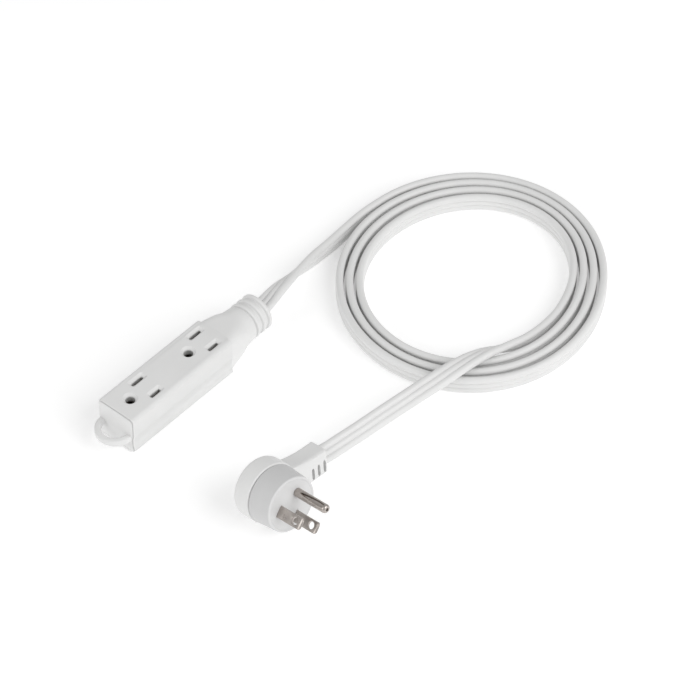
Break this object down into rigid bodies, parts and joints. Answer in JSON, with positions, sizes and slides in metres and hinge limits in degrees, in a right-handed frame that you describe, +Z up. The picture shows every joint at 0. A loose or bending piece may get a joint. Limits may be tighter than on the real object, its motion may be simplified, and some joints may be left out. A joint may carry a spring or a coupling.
{
  "type": "extension cord",
  "caption": "Household extension cord: an outlet block with a hanging loop, a flat ribbed cord in a coil, and a flat grounded plug whose prongs turn.",
  "frame": {"origin": "centre of the outlet block's underside, where it rests on the floor", "axes": "+X along the outlet block from the hanging loop to the cord, +Y across it to the side of the neutral slots, +Z up out of the outlet face"},
  "size_m": [0.2948, 0.154, 0.0364],
  "materials": {
    "jacket_white": "satin",
    "carrier_white": "matte",
    "brass": "satin",
    "tinned_steel": "satin",
    "line_black": "satin",
    "neutral_white": "satin",
    "ground_green": "satin",
    "cord_white": "satin",
    "insulator_tan": "matte",
    "nickel": "polished"
  },
  "bodies": {
    "cord_set": {"outlet_jacket": "jacket_white", "carrier_cover": "carrier_white", "carrier_base": "carrier_white", "line_bus": "brass", "neutral_bus": "brass", "ground_bus": "brass", "line_crimp": "tinned_steel", "neutral_crimp": "tinned_steel", "ground_crimp": "tinned_steel", "block_line_wire": "line_black", "block_neutral_wire": "neutral_white", "block_ground_wire": "ground_green", "cord_lead": "cord_white", "cord_coil": "cord_white", "cord_tail": "cord_white", "plug_housing": "jacket_white", "ring_plate": "insulator_tan", "line_ring": "brass", "neutral_ring": "brass", "ground_ring": "brass", "plug_line_wire": "line_black", "plug_neutral_wire": "neutral_white", "plug_ground_wire": "ground_green", "pivot_washer": "tinned_steel", "pivot_screw": "tinned_steel"},
    "turret": {"turret_shell": "jacket_white", "turret_back": "insulator_tan", "line_blade": "nickel", "neutral_blade": "nickel", "ground_pin": "nickel", "line_wiper": "brass", "neutral_wiper": "brass", "ground_wiper": "brass"}
  },
  "joints": [
    {"name": "plug_turn", "type": "hinge", "parent": "cord_set", "child": "turret", "pos_m": [-0.0338, -0.0945, 0.0186], "axis": [-0.0853, -0.9744, 0.2079], "continuous": true}
  ]
}
